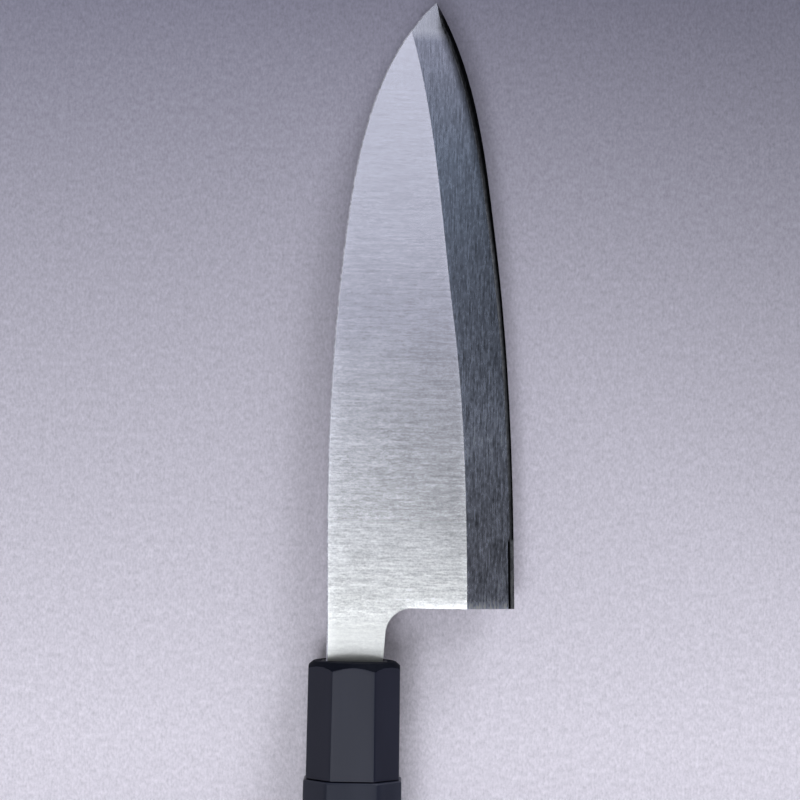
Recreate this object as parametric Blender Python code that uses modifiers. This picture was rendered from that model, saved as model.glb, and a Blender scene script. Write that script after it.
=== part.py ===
"""A single-bevel fish knife with an octagonal handle, lying on its side with the bevel up.

Across (+X) runs from the handle's axis towards the cutting edge, along (+Y) from the handle
towards the tip, and up is +Z. All sizes are in metres.
"""

import math

import bmesh
import bpy
from mathutils import Matrix, Vector
from mathutils.geometry import interpolate_bezier

# Fits
GAP = 0.0003  # between neighbouring pieces
CUT_PAST = 0.004  # how far a cutter runs past what it cuts
SAME_POINT = 0.000001

# Blade outline, seen from above
BLADE_LENGTH = 0.150  # heel to tip
EDGE_REACH = 0.0394  # handle axis to the heel's corner
TIP_REACH = 0.0175  # handle axis to the tip
EDGE_HEADINGS = (-1.3, -7.9, -31.1)  # degrees off the axis, at the heel, the belly and the tip
EDGE_BELLY = 0.0070
EDGE_BELLY_SHARE = 0.60  # where the belly lies between heel and tip
BEVEL_WIDTH = 0.0118  # at the heel
BEVEL_HEADINGS = (-1.2, -8.0, -16.3)
BEVEL_BELLY = 0.0035
BEVEL_BELLY_SHARE = 0.50
BEVEL_END_FROM_TIP = (0.0060, 0.0075)  # across and along, where the bevel's upper line meets the spine
SPINE_BOW = 0.0005
SPINE_BOW_AT = 0.042
SPINE_HEADINGS = (0.0, 7.4, 47.5)  # at the bow, the shoulder and the tip
SPINE_SHOULDER = 0.0100
SPINE_SHOULDER_SHARE = 0.56
NECK_DEPTH = 0.01405
NECK_LENGTH = 0.0133  # collar to heel
NECK_FLARE = 0.0009  # how far the neck's lower line falls towards the heel
CHOIL_RADIUS = 0.0066

# Blade section
BLADE_THICKNESS = 0.0040  # at the heel
TIP_THICKNESS = 0.0016  # where the plane of the flat would reach the tip
EDGE_LAND = 0.0001  # thickness left at the cutting edge
EDGE_FACET_WIDTH = 0.0008
EDGE_FACET_TIP_WIDTH = 0.0017
EDGE_FACET_GROWTH = 4  # the power at which it widens towards the tip
EDGE_FACET_ANGLE = 27.0
SPINE_CHAMFER = 0.0004
HOLLOW_DEPTH = 0.0003  # of the hollow ground into the back
HOLLOW_RIM = 0.0030
HOLLOW_START = 0.018  # from the collar
HOLLOW_RUN_OUT = 0.020

# Tang, inside the handle
NECK_SEAT = 0.0055  # how far the full neck reaches into the collar
TANG_LENGTH = 0.078
TANG_DEPTH = 0.0080
TANG_END_DEPTH = 0.0055
TANG_END_THICKNESS = 0.0026

# Handle body
BODY_LENGTH = 0.0992
BODY_THICKNESS = 0.0207
BODY_FRONT_WIDTH = 0.0242
BODY_REAR_WIDTH = 0.0260
BODY_CORNER_CUT = 0.0059
BODY_FRONT_CHAMFER = 0.0005
HANDLE_EDGE_ROUND = 0.0003

# Collar
COLLAR_LENGTH = 0.0288
COLLAR_STEP = 0.0006  # how far the collar lies below the body's flats
COLLAR_FRONT_WIDTH = 0.0226
COLLAR_CORNER_CUT = 0.0061
COLLAR_WALL = 0.0100  # in front of the dowel
RIM_DEPTH = 0.0010  # of the turned rims, along the middle of a flat
RIM_RISE = 0.0013

# Inner pieces
DOWEL_DIAMETER = 0.0140
DOWEL_LENGTH = 0.079
ADHESIVE_WALL = 0.0004
ADHESIVE_END = 0.0015  # behind the tang
SEAL_LENGTH = 0.0040
SEAL_WALL = 0.0005
SEAL_RECESS = 0.0004

# How finely the shapes are divided
CURVE_STEPS = 60
BLADE_SECTIONS = 34
SECTION_CROWDING = 1.5  # above 1, the sections stand closer near the tip
HOLLOW_STEPS = 4
CHOIL_STEPS = 12
ROUND_SIDES = 64

# Derived places
TIP = Vector((TIP_REACH, NECK_LENGTH + BLADE_LENGTH))
HEEL = Vector((EDGE_REACH, NECK_LENGTH))
HANDLE_LENGTH = COLLAR_LENGTH + GAP + BODY_LENGTH
HANDLE_WIDTH = max(BODY_REAR_WIDTH, BODY_FRONT_WIDTH)
BODY_FRONT = -(COLLAR_LENGTH + GAP)
COLLAR_THICKNESS = BODY_THICKNESS - 2 * COLLAR_STEP
COLLAR_REAR_WIDTH = BODY_FRONT_WIDTH - 2 * COLLAR_STEP
NECK_SIZE = (NECK_DEPTH, BLADE_THICKNESS)
TANG_SIZE = (TANG_DEPTH, BLADE_THICKNESS)
TANG_END_SIZE = (TANG_END_DEPTH, TANG_END_THICKNESS)
MOUTH_FLOOR = -(NECK_SEAT + GAP)
ADHESIVE_LENGTH = TANG_LENGTH + GAP + ADHESIVE_END + MOUTH_FLOOR
DOWEL_FRONT = -(COLLAR_WALL + GAP)
DOWEL_REAR = DOWEL_FRONT - DOWEL_LENGTH
BORE_RADIUS = DOWEL_DIAMETER / 2 + GAP


def make_collection(name):
    collection = bpy.data.collections.new(name)
    bpy.context.scene.collection.children.link(collection)
    return collection


def make_material(name, colour, roughness, metallic):
    material = bpy.data.materials.new(name)
    material.use_nodes = True
    shader = material.node_tree.nodes["Principled BSDF"]
    shader.inputs["Base Color"].default_value = (*colour, 1.0)
    shader.inputs["Roughness"].default_value = roughness
    shader.inputs["Metallic"].default_value = metallic
    material.diffuse_color = (*colour, 1.0)
    return material


def mesh_from_bmesh(name, bm):
    bmesh.ops.recalc_face_normals(bm, faces=bm.faces)
    mesh = bpy.data.meshes.new(name)
    bm.to_mesh(mesh)
    bm.free()
    return mesh


def add_piece(name, mesh, material, place):
    """A visible piece of the knife, placed from the middle of the collar's front."""
    piece = bpy.data.objects.new(name, mesh)
    pieces.objects.link(piece)
    mesh.materials.append(material)
    piece.location = place
    piece.parent = knife
    return piece


def add_cutter(name, mesh, piece):
    """A helper for a Boolean, modelled in the frame of the piece that it shapes."""
    cutter = bpy.data.objects.new(name, mesh)
    cutters.objects.link(cutter)
    cutter.parent = piece
    cutter.hide_render = True
    cutter.display_type = "WIRE"
    return cutter


def shape_with(piece, cutter, operation):
    boolean = piece.modifiers.new(cutter.name, "BOOLEAN")
    boolean.operation = operation
    boolean.solver = "EXACT"
    boolean.object = cutter


def evaluated_mesh(piece):
    """The mesh of an object with its modifiers applied."""
    bpy.context.view_layer.update()
    graph = bpy.context.evaluated_depsgraph_get()
    return bpy.data.meshes.new_from_object(piece.evaluated_get(graph))


def loft(name, rings):
    """A closed solid through rings that each hold the same number of points."""
    bm = bmesh.new()
    rows = [[bm.verts.new(point) for point in ring] for ring in rings]
    for row, following in zip(rows, rows[1:]):
        for index in range(len(row)):
            after = (index + 1) % len(row)
            bm.faces.new((row[index], row[after], following[after], following[index]))
    bm.faces.new(rows[0])
    bm.faces.new(rows[-1])
    bmesh.ops.remove_doubles(bm, verts=bm.verts, dist=SAME_POINT)
    return mesh_from_bmesh(name, bm)


def round_bar(name, front, rear, front_radius, rear_radius, squash=1.0):
    """A cylinder or cone from front to rear along the handle, flattened by squash in height."""
    bm = bmesh.new()
    bmesh.ops.create_cone(
        bm,
        cap_ends=True,
        segments=ROUND_SIDES,
        radius1=front_radius,
        radius2=rear_radius,
        depth=front - rear,
    )
    backwards = Matrix.Rotation(math.radians(90), 4, "X")
    flatten = Matrix.Diagonal((1.0, 1.0, squash, 1.0))
    middle = Matrix.Translation((0.0, (front + rear) / 2, 0.0))
    bmesh.ops.transform(bm, matrix=middle @ flatten @ backwards, verts=bm.verts)
    return mesh_from_bmesh(name, bm)


def grown(size, margin):
    """A section's (depth, thickness) with a margin added on every side."""
    return (size[0] + 2 * margin, size[1] + 2 * margin)


def block(name, front, rear, size, rear_size=None, rear_drop=0.0):
    """A bar of rectangular section (depth, thickness) from front to rear along the handle.

    It may narrow towards the rear, where its middle may lie lower by rear_drop.
    """
    bm = bmesh.new()
    bmesh.ops.create_cube(bm, size=1.0)
    for vert in bm.verts:
        at_rear = vert.co.y < 0
        depth, thickness = rear_size if at_rear and rear_size else size
        drop = rear_drop if at_rear else 0.0
        vert.co = (vert.co.x * depth, rear if at_rear else front, vert.co.z * thickness - drop)
    return mesh_from_bmesh(name, bm)


def direction(degrees):
    """Unit vector (across, along), turned from the handle's axis towards the edge."""
    return Vector((math.sin(math.radians(degrees)), math.cos(math.radians(degrees))))


def bulged_point(start, end, share, bulge):
    """A point beside the straight line from start to end, on the edge's side for a positive bulge."""
    chord = end - start
    outward = Vector((chord.y, -chord.x)).normalized()
    return start + share * chord + bulge * outward


def smooth_line(points, headings):
    """A smooth line through the points, with a given heading at each."""
    line = []
    anchors = list(zip(points, [direction(heading) for heading in headings]))
    for (start, start_way), (end, end_way) in zip(anchors, anchors[1:]):
        pull = (end - start).length / 3
        controls = (start, start + pull * start_way, end - pull * end_way, end)
        line += interpolate_bezier(*[control.to_3d() for control in controls], CURVE_STEPS)
    return line


def across_at(line, along):
    """Where a line that runs forwards lies at a given distance along the knife."""
    if along <= line[0].y:
        return line[0].x
    for point, following in zip(line, line[1:]):
        if along <= following.y and following.y > point.y:
            share = (along - point.y) / (following.y - point.y)
            return point.x + share * (following.x - point.x)
    end, before_end = line[-1], line[-4]
    slope = (end.x - before_end.x) / (end.y - before_end.y)
    return end.x + slope * (along - end.y)


def edge_line():
    belly = bulged_point(HEEL, TIP, EDGE_BELLY_SHARE, EDGE_BELLY)
    return smooth_line((HEEL, belly, TIP), EDGE_HEADINGS)


def bevel_line():
    """The line between the flat and the bevel. Past its end it runs on straight, off the blade."""
    start = Vector((HEEL.x - BEVEL_WIDTH, HEEL.y))
    end = TIP - Vector(BEVEL_END_FROM_TIP)
    belly = bulged_point(start, end, BEVEL_BELLY_SHARE, BEVEL_BELLY)
    return smooth_line((start, belly, end), BEVEL_HEADINGS)


def spine_line():
    start = Vector((-NECK_DEPTH / 2, 0.0))
    bow = Vector((start.x - SPINE_BOW, SPINE_BOW_AT))
    shoulder = bulged_point(bow, TIP, SPINE_SHOULDER_SHARE, -SPINE_SHOULDER)
    return smooth_line((start, bow, shoulder, TIP), (0.0, *SPINE_HEADINGS))


def ease(value, start, end):
    """Rises smoothly from 0 at start to 1 at end."""
    share = min(1.0, max(0.0, (value - start) / (end - start)))
    return share * share * (3 - 2 * share)


def share_to_tip(along):
    """0 as far as the heel, then up to 1 at the tip."""
    return max(0.0, (along - HEEL.y) / BLADE_LENGTH)


def thickness_at(along):
    """Thickness of the flat part: full from collar to heel, thinner to the tip and to the tang's end."""
    if along < 0:
        return BLADE_THICKNESS + (BLADE_THICKNESS - TANG_END_THICKNESS) * along / TANG_LENGTH
    return BLADE_THICKNESS - (BLADE_THICKNESS - TIP_THICKNESS) * share_to_tip(along)


def hollow_at(along, width):
    """Depth and rim width of the hollow in the back. It runs out towards the heel and the tip."""
    opening = ease(along, HOLLOW_START, HOLLOW_START + HOLLOW_RUN_OUT)
    closing = ease(TIP.y - along, 0.0, HOLLOW_RUN_OUT)
    return HOLLOW_DEPTH * opening * closing, min(HOLLOW_RIM, width / 4)


def blade_section(along, spine, bevel, edge):
    """Points round the blade at one place along it: over the upper side, then back along the back.

    Heights count from the plane of the back.
    """
    spine_at = across_at(spine, along)
    edge_at = across_at(edge, along)
    width = edge_at - spine_at
    widening = (EDGE_FACET_TIP_WIDTH - EDGE_FACET_WIDTH) * share_to_tip(along) ** EDGE_FACET_GROWTH
    facet = min(EDGE_FACET_WIDTH + widening, width / 3)
    facet_at = edge_at - facet
    facet_top = EDGE_LAND + facet * math.tan(math.radians(EDGE_FACET_ANGLE))
    bevel_at = across_at(bevel, along)
    full = thickness_at(along)

    def upper(across):
        """Height of the flat or, past the bevel's line, of the bevel."""
        share = (facet_at - across) / (facet_at - bevel_at)
        return facet_top + (full - facet_top) * min(1.0, share)

    chamfer = min(SPINE_CHAMFER, width / 4, upper(spine_at) / 4)
    flat_end = max(bevel_at, spine_at + chamfer)
    depth, rim = hollow_at(along, width)
    rim_spine = spine_at + max(rim, chamfer)
    rim_edge = edge_at - rim
    section = [
        (spine_at, upper(spine_at) - chamfer),
        (spine_at + chamfer, upper(spine_at + chamfer)),
        (flat_end, upper(flat_end)),
        (facet_at, facet_top),
        (edge_at, EDGE_LAND),
        (edge_at, 0.0),
        (rim_edge, 0.0),
    ]
    for step in range(1, HOLLOW_STEPS):
        share = step / HOLLOW_STEPS
        height = depth * 4 * share * (1 - share)
        section.append((rim_edge + share * (rim_spine - rim_edge), height))
    section += [(rim_spine, 0.0), (spine_at + chamfer, 0.0), (spine_at, chamfer)]
    return section


def blade_sections():
    """Where the blade's sections stand: past the tang's end, the collar's front, then on to the tip."""
    places = [-TANG_LENGTH - CUT_PAST, 0.0]
    for step in range(1, BLADE_SECTIONS + 1):
        share = 1 - (1 - step / BLADE_SECTIONS) ** SECTION_CROWDING
        places.append(share * TIP.y)
    return places


def choil_points():
    """The round corner between the neck's lower line and the heel, as (across, along)."""
    start = Vector((NECK_DEPTH / 2, 0.0))
    neck_way = Vector((NECK_FLARE, HEEL.y)).normalized()
    corner = start + neck_way * (HEEL.y / neck_way.y)
    turn = math.atan2(neck_way.y, neck_way.x)
    reach = CHOIL_RADIUS / math.tan((math.pi - turn) / 2)
    arc_start = corner - reach * neck_way
    centre = arc_start + CHOIL_RADIUS * Vector((neck_way.y, -neck_way.x))
    points = []
    for step in range(CHOIL_STEPS + 1):
        angle = math.pi - (math.pi / 2 - turn) - step / CHOIL_STEPS * turn
        points.append(centre + CHOIL_RADIUS * Vector((math.cos(angle), math.sin(angle))))
    return points


def heel_and_tang_outline():
    """Everything that stays of the blade's slab, as an outline well outside the spine and edge."""
    past = CUT_PAST
    half_neck = NECK_DEPTH / 2
    return [
        (-half_neck - past, TIP.y + past),
        (EDGE_REACH + past, TIP.y + past),
        (EDGE_REACH + past, HEEL.y),
        *[tuple(point) for point in reversed(choil_points())],
        (half_neck, 0.0),
        (half_neck, -NECK_SEAT),
        (TANG_DEPTH / 2, -NECK_SEAT),
        (TANG_END_DEPTH / 2, -TANG_LENGTH),
        (-TANG_END_DEPTH / 2, -TANG_LENGTH),
        (-TANG_DEPTH / 2, -NECK_SEAT),
        (-half_neck - past, -NECK_SEAT),
    ]


def outline_prism(name, outline, height):
    """A flat outline given height, as a mesh that a Boolean can use."""
    curve = bpy.data.curves.new(name, "CURVE")
    curve.dimensions = "2D"
    curve.fill_mode = "BOTH"
    curve.extrude = height / 2
    spline = curve.splines.new("POLY")
    spline.points.add(len(outline) - 1)
    for point, (across, along) in zip(spline.points, outline):
        point.co = (across, along, 0.0, 1.0)
    spline.use_cyclic_u = True
    guide = bpy.data.objects.new(name, curve)
    cutters.objects.link(guide)
    mesh = evaluated_mesh(guide)
    bpy.data.objects.remove(guide)
    bm = bmesh.new()
    bm.from_mesh(mesh)
    bmesh.ops.remove_doubles(bm, verts=bm.verts, dist=SAME_POINT)
    return mesh_from_bmesh(name, bm)


def ease_neck_edges(mesh):
    """Chamfers the edges of the neck, the choil and the heel, as far as the bevel's line."""
    bm = bmesh.new()
    bm.from_mesh(mesh)
    bevel_start = EDGE_REACH - BEVEL_WIDTH + SPINE_CHAMFER
    chosen = []
    for edge in bm.edges:
        upright = [abs(face.normal.z) < 0.5 for face in edge.link_faces]
        inside = all(
            0 < vert.co.x < bevel_start and -NECK_SEAT - GAP < vert.co.y < HEEL.y + GAP
            for vert in edge.verts
        )
        if inside and sorted(upright) == [False, True]:
            chosen.append(edge)
    bmesh.ops.bevel(
        bm,
        geom=chosen,
        offset=SPINE_CHAMFER,
        offset_type="OFFSET",
        segments=1,
        affect="EDGES",
        clamp_overlap=True,
    )
    return mesh_from_bmesh(mesh.name, bm)


def make_blade():
    """Blade, neck and tang from one bar: a lofted slab, cut to its outline."""
    spine = spine_line()
    bevel = bevel_line()
    edge = edge_line()
    rings = []
    for along in blade_sections():
        section = blade_section(along, spine, bevel, edge)
        rings.append([(across, along, up) for across, up in section])
    steel = make_material("brushed_steel", (0.62, 0.63, 0.67), 0.32, 1.0)
    blade = add_piece("blade", loft("blade", rings), steel, (0.0, 0.0, -BLADE_THICKNESS / 2))
    height = 2 * BLADE_THICKNESS + 2 * CUT_PAST
    outline = outline_prism("blade_outline", heel_and_tang_outline(), height)
    shape_with(blade, add_cutter("blade_outline", outline, blade), "INTERSECT")
    ground = ease_neck_edges(evaluated_mesh(blade))
    blade.modifiers.clear()
    blade.data = ground


def octagon(width, thickness, corner_cut, along):
    """Points of an octagon across the handle, whose corners are cut at 45 degrees."""
    half_width = width / 2
    half_height = thickness / 2
    quarter = [(half_width, half_height - corner_cut), (half_width - corner_cut, half_height)]
    right = [(x, -z) for x, z in reversed(quarter)] + quarter
    left = [(-x, z) for x, z in reversed(right)]
    return [(x, along, z) for x, z in right + left]


def inset_octagon(width, thickness, corner_cut, inset, along):
    """The same octagon with every side moved inwards by inset."""
    smaller_cut = corner_cut - (2 - math.sqrt(2)) * inset
    return octagon(width - 2 * inset, thickness - 2 * inset, smaller_cut, along)


def round_long_edges(piece):
    bevel = piece.modifiers.new("rounded_edges", "BEVEL")
    bevel.width = HANDLE_EDGE_ROUND
    bevel.segments = 2
    bevel.limit_method = "ANGLE"
    bevel.angle_limit = math.radians(30)


def turned_rim(name, width, thickness, length):
    """A flattened cone whose small end, at y = 0, rounds off the end of an octagonal bar."""
    radius = width / 2 - RIM_RISE
    growth = RIM_RISE * length / RIM_DEPTH
    return round_bar(name, 0.0, -length, radius, radius + growth, squash=thickness / width)


def make_collar():
    resin = make_material("collar_resin", (0.030, 0.033, 0.045), 0.45, 0.0)
    rings = (
        octagon(COLLAR_FRONT_WIDTH, COLLAR_THICKNESS, COLLAR_CORNER_CUT, 0.0),
        octagon(COLLAR_REAR_WIDTH, COLLAR_THICKNESS, COLLAR_CORNER_CUT, -COLLAR_LENGTH),
    )
    collar = add_piece("collar", loft("collar", rings), resin, (0.0, 0.0, 0.0))
    round_long_edges(collar)
    rim = turned_rim("collar_rim", COLLAR_FRONT_WIDTH, COLLAR_THICKNESS, COLLAR_LENGTH + CUT_PAST)
    shape_with(collar, add_cutter("collar_rim", rim, collar), "INTERSECT")
    mouth = block("collar_mouth", CUT_PAST, MOUTH_FLOOR, grown(NECK_SIZE, GAP + SEAL_WALL + GAP))
    shape_with(collar, add_cutter("collar_mouth", mouth, collar), "DIFFERENCE")
    passage_size = grown(TANG_SIZE, GAP + ADHESIVE_WALL + GAP)
    passage = block("tang_passage", CUT_PAST, DOWEL_FRONT - CUT_PAST, passage_size)
    shape_with(collar, add_cutter("tang_passage", passage, collar), "DIFFERENCE")
    bore = round_bar("collar_bore", -COLLAR_WALL, -COLLAR_LENGTH - CUT_PAST, BORE_RADIUS, BORE_RADIUS)
    shape_with(collar, add_cutter("collar_bore", bore, collar), "DIFFERENCE")


def make_handle_body():
    resin = make_material("handle_resin", (0.028, 0.030, 0.041), 0.50, 0.0)
    front = (BODY_FRONT_WIDTH, BODY_THICKNESS, BODY_CORNER_CUT)
    rings = (
        inset_octagon(*front, BODY_FRONT_CHAMFER, 0.0),
        octagon(*front, -BODY_FRONT_CHAMFER),
        octagon(BODY_REAR_WIDTH, BODY_THICKNESS, BODY_CORNER_CUT, -BODY_LENGTH),
    )
    body = add_piece("handle_body", loft("handle_body", rings), resin, (0.0, BODY_FRONT, 0.0))
    round_long_edges(body)
    rim = turned_rim("butt_rim", BODY_REAR_WIDTH, BODY_THICKNESS, BODY_LENGTH + CUT_PAST)
    butt = add_cutter("butt_rim", rim, body)
    butt.location.y = -BODY_LENGTH
    butt.rotation_euler.z = math.pi
    shape_with(body, butt, "INTERSECT")
    bore_floor = DOWEL_REAR - GAP - BODY_FRONT
    bore = round_bar("body_bore", CUT_PAST, bore_floor, BORE_RADIUS, BORE_RADIUS)
    shape_with(body, add_cutter("body_bore", bore, body), "DIFFERENCE")


def make_dowel():
    wood = make_material("dowel_wood", (0.55, 0.42, 0.27), 0.7, 0.0)
    radius = DOWEL_DIAMETER / 2
    mesh = round_bar("dowel", 0.0, -DOWEL_LENGTH, radius, radius)
    dowel = add_piece("dowel", mesh, wood, (0.0, DOWEL_FRONT, 0.0))
    slot_floor = MOUTH_FLOOR - ADHESIVE_LENGTH - GAP - DOWEL_FRONT
    slot = block("dowel_slot", CUT_PAST, slot_floor, grown(TANG_SIZE, GAP + ADHESIVE_WALL + GAP))
    shape_with(dowel, add_cutter("dowel_slot", slot, dowel), "DIFFERENCE")
    dowel.data.shade_smooth()
    dowel.data.set_sharp_from_angle(angle=math.radians(30))


def make_tang_adhesive():
    """The cured adhesive, a sleeve from the neck's shoulder that is closed behind the tang."""
    resin = make_material("cured_adhesive", (0.72, 0.66, 0.50), 0.4, 0.0)
    mesh = block("tang_adhesive", 0.0, -ADHESIVE_LENGTH, grown(TANG_SIZE, GAP + ADHESIVE_WALL))
    adhesive = add_piece("tang_adhesive", mesh, resin, (0.0, MOUTH_FLOOR, 0.0))
    tang_space = block(
        "tang_space",
        -NECK_SEAT,
        -(TANG_LENGTH + GAP),
        grown(TANG_SIZE, GAP),
        rear_size=grown(TANG_END_SIZE, GAP),
        rear_drop=(BLADE_THICKNESS - TANG_END_THICKNESS) / 2,
    )
    cutter = add_cutter("tang_space", tang_space, adhesive)
    cutter.location.y = -MOUTH_FLOOR
    shape_with(adhesive, cutter, "DIFFERENCE")


def make_mouth_seal():
    """The filler round the neck, just behind the collar's front."""
    sealant = make_material("sealant", (0.03, 0.03, 0.035), 0.6, 0.0)
    mesh = block("mouth_seal", 0.0, -SEAL_LENGTH, grown(NECK_SIZE, GAP + SEAL_WALL))
    seal = add_piece("mouth_seal", mesh, sealant, (0.0, -SEAL_RECESS, 0.0))
    neck_space = block("neck_space", CUT_PAST, -SEAL_LENGTH - CUT_PAST, grown(NECK_SIZE, GAP))
    shape_with(seal, add_cutter("neck_space", neck_space, seal), "DIFFERENCE")


for leftover in list(bpy.data.objects):
    bpy.data.objects.remove(leftover)

pieces = make_collection("fish_knife")
cutters = make_collection("cutters")

# The knife's box is centred on the origin, and the handle's lower flat lies on z = 0.
knife = bpy.data.objects.new("knife", None)
pieces.objects.link(knife)
knife.location = (
    -(EDGE_REACH - HANDLE_WIDTH / 2) / 2,
    -(TIP.y - HANDLE_LENGTH) / 2,
    BODY_THICKNESS / 2,
)

make_blade()
make_collar()
make_handle_body()
make_dowel()
make_tang_adhesive()
make_mouth_seal()
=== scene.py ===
"""Looks of a single-bevel fish knife with an octagonal handle, seen from straight above.

The blade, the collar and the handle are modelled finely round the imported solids. Across (+X) runs
from the handle's axis towards the cutting edge, along (+Y) from the handle to the tip, up is +Z.
All sizes are in metres, and a colour is linear red, green and blue.
"""

import math

import bmesh
import bpy
from mathutils import Matrix, Vector
from mathutils.geometry import interpolate_bezier


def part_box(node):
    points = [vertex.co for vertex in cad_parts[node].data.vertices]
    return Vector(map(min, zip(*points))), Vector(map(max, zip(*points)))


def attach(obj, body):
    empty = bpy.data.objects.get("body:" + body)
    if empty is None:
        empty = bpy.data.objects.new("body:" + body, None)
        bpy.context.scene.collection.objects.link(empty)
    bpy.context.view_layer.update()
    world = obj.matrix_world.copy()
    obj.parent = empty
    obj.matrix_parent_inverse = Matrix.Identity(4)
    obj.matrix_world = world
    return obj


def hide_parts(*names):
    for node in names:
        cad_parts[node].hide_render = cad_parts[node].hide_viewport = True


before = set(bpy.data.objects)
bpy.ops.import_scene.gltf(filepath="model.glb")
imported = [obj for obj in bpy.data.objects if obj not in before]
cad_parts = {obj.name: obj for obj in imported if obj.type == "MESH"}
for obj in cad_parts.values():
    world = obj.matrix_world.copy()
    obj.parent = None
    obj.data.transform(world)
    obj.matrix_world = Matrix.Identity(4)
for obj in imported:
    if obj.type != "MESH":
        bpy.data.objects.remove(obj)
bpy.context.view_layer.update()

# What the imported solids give
BLADE_LOW, BLADE_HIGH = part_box("blade")
COLLAR_LOW, COLLAR_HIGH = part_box("collar")
BODY_LOW, BODY_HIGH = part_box("handle_body")
AXIS = Vector(((BODY_LOW.x + BODY_HIGH.x) / 2, COLLAR_HIGH.y, (BODY_LOW.z + BODY_HIGH.z) / 2))
EDGE_REACH = BLADE_HIGH.x - AXIS.x
TIP_ALONG = BLADE_HIGH.y - AXIS.y
TANG_LENGTH = AXIS.y - BLADE_LOW.y
BACK_UP = BLADE_LOW.z - AXIS.z  # the plane of the blade's back
BLADE_THICKNESS = BLADE_HIGH.z - BLADE_LOW.z
COLLAR_LENGTH = COLLAR_HIGH.y - COLLAR_LOW.y
COLLAR_THICKNESS = COLLAR_HIGH.z - COLLAR_LOW.z
BODY_FRONT = BODY_HIGH.y - AXIS.y
BODY_LENGTH = BODY_HIGH.y - BODY_LOW.y
BODY_THICKNESS = BODY_HIGH.z - BODY_LOW.z
BODY_REAR_WIDTH = BODY_HIGH.x - BODY_LOW.x

# Fits
GAP = 0.0003
CUT_PAST = 0.004
SAME_POINT = 0.0000005

# Blade outline
HEEL_ALONG = 0.0133
TIP_REACH = 0.0175
EDGE_HEADINGS = (-1.3, -7.9, -31.1)  # degrees off the axis, at the heel, the belly and the tip
EDGE_BELLY = 0.0070
EDGE_BELLY_SHARE = 0.60
BEVEL_WIDTH = 0.0118
BEVEL_HEADINGS = (-1.2, -8.0, -16.3)
BEVEL_BELLY = 0.0035
BEVEL_BELLY_SHARE = 0.50
BEVEL_END_FROM_TIP = (0.0060, 0.0075)  # across and along
SPINE_BOW = 0.0005
SPINE_BOW_AT = 0.042
SPINE_HEADINGS = (0.0, 0.0, 7.4, 47.5)  # at the collar, the bow, the shoulder and the tip
SPINE_SHOULDER = 0.0100
SPINE_SHOULDER_SHARE = 0.56
NECK_DEPTH = 0.01405
NECK_FLARE = 0.0009
CHOIL_RADIUS = 0.0066
HEEL = Vector((EDGE_REACH, HEEL_ALONG))
TIP = Vector((TIP_REACH, TIP_ALONG))
BLADE_LENGTH = TIP_ALONG - HEEL_ALONG

# Blade section
TIP_THICKNESS = 0.0016  # where the plane of the flat would reach the tip
BEVEL_CROWN = 0.00006  # how far the middle of the bevel stands above a plane
BEVEL_SHOULDER = 0.00005  # how far the rounding beside the flat stands above the bevel
BEVEL_SHOULDER_WIDTH = 0.0026
BEVEL_STRIPS = 16
EDGE_LAND = 0.0001
EDGE_ROLL_WIDTH = 0.0010
EDGE_ROLL_TIP_WIDTH = 0.0021
EDGE_ROLL_GROWTH = 1.7
EDGE_ROLL_ANGLE = 24.0
EDGE_ROLL_STRIPS = 10
EDGE_ROLL_TIP_SHARE = 0.23  # of the blade's width, where the roll runs out at the tip
EDGE_ROLL_HEEL_EXTRA = 0.0005
EDGE_ROLL_HEEL_LENGTH = 0.0166
EDGE_ROLL_HEEL_RUN_OUT = 0.0008
EDGE_ROLL_TIP_BLEND = 0.0006
TIP_HEIGHT_SHARE = 0.6  # of the roll's height, kept where it runs out at the tip
SPINE_FALL = 0.00007  # how far polishing has rounded the flat off beside the spine, at the heel
SPINE_FALL_LOSS = 0.6  # share of that fall which is gone at the tip
SPINE_FALL_WIDTH = 0.0028
HEEL_FALL = 0.00008
HEEL_FALL_WIDTH = 0.0029
FLAT_LIP = 0.000016  # how far the flat rises beside the bevel's line
FLAT_LIP_WIDTH = 0.0008
FLAT_STRIPS = 20
SPINE_CHAMFER = 0.0004
CHAMFER_STRIPS = 3
HOLLOW_DEPTH = 0.0003
HOLLOW_RIM = 0.0030
HOLLOW_START = 0.018
HOLLOW_RUN_OUT = 0.020
HOLLOW_STRIPS = 12

# Tang
NECK_SEAT = 0.0055
TANG_DEPTH = 0.0080
TANG_END_DEPTH = 0.0055
TANG_END_THICKNESS = 0.0026

# Handle
BODY_FRONT_WIDTH = 0.0242
BODY_CORNER_CUT = 0.0059
BODY_FRONT_CHAMFER = 0.0005
BODY_CHAMFER_STEPS = 4
COLLAR_STEP = (BODY_THICKNESS - COLLAR_THICKNESS) / 2
COLLAR_FRONT_WIDTH = 0.0226
COLLAR_REAR_WIDTH = BODY_FRONT_WIDTH - 2 * COLLAR_STEP
COLLAR_CORNER_CUT = 0.0061
COLLAR_WALL = 0.0100
LONG_EDGE_ROUND = 0.0004
RIM_RISE = 0.00145  # how far the turned rim drops below the middle of a flat
RIM_SLOPE = 49.0  # degrees off the axis
RIM_ROUND = 0.0008  # at the front corner
RIM_REACH = 0.0013  # how far the turned cone rises past a flat, to run out over the corners
RIM_BLEND = 0.00012  # softness of the line where the rim meets a flat
DOWEL_DIAMETER = 0.0140
DOWEL_LENGTH = 0.079
SEAL_WALL = 0.0005
ADHESIVE_WALL = 0.0004
FILLER_LENGTH = 0.0044
FILLER_RECESS = 0.00008
FILLER_FIT = 0.00004

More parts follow.
